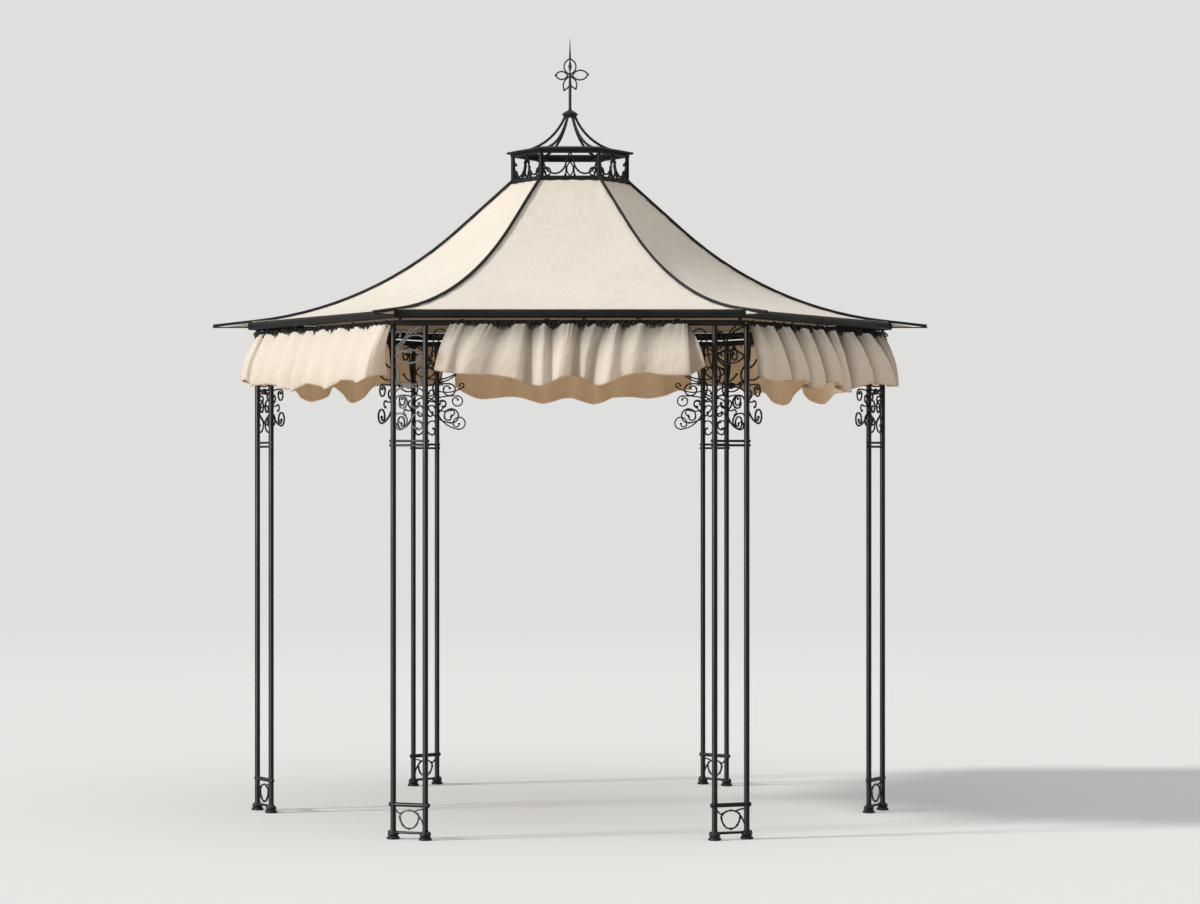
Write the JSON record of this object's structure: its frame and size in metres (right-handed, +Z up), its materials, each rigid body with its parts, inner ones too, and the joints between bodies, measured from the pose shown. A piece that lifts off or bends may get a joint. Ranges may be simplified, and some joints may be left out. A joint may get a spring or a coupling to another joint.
{
  "type": "metal pergola",
  "caption": "Free-standing hexagonal garden pergola: twin-tube iron posts with scroll brackets, swept cloth roof, hanging valances, open scroll crown and leaf finial.",
  "frame": {"origin": "on the floor under the finial, at the bottom centre of the bounding box", "axes": "+Z up; +X to the right corner post; -Y out through the front side"},
  "size_m": [3.436, 2.9784, 3.702],
  "materials": {
    "black_iron": "satin black powder coat over steel",
    "canopy_cloth": "plain-woven ecru canvas",
    "valance_cloth": "soft plain-woven cream cloth"
  },
  "bodies": {
    "root": {"post_right": "black_iron", "post_back_right": "black_iron", "post_back_left": "black_iron", "post_left": "black_iron", "post_front_left": "black_iron", "post_front_right": "black_iron", "scrolls_right": "black_iron", "scrolls_back_right": "black_iron", "scrolls_back_left": "black_iron", "scrolls_left": "black_iron", "scrolls_front_left": "black_iron", "scrolls_front_right": "black_iron", "hip_rib_right": "black_iron", "hip_rib_back_right": "black_iron", "hip_rib_back_left": "black_iron", "hip_rib_left": "black_iron", "hip_rib_front_left": "black_iron", "hip_rib_front_right": "black_iron", "ring_beam": "black_iron", "edge_rail": "black_iron", "valance_rods": "black_iron", "crown_lower_ring": "black_iron", "crown_posts": "black_iron", "crown_scrolls": "black_iron", "crown_upper_ring": "black_iron", "crown_brim": "black_iron", "dome_rods": "black_iron", "hub": "black_iron", "finial_stem": "black_iron", "finial_leaves": "black_iron", "canopy_right_back": "canopy_cloth", "canopy_back": "canopy_cloth", "canopy_left_back": "canopy_cloth", "canopy_left_front": "canopy_cloth", "canopy_front": "canopy_cloth", "canopy_right_front": "canopy_cloth", "valance_right_back": "valance_cloth", "valance_back": "valance_cloth", "valance_left_back": "valance_cloth", "valance_left_front": "valance_cloth", "valance_front": "valance_cloth", "valance_right_front": "valance_cloth"}
  },
  "joints": []
}
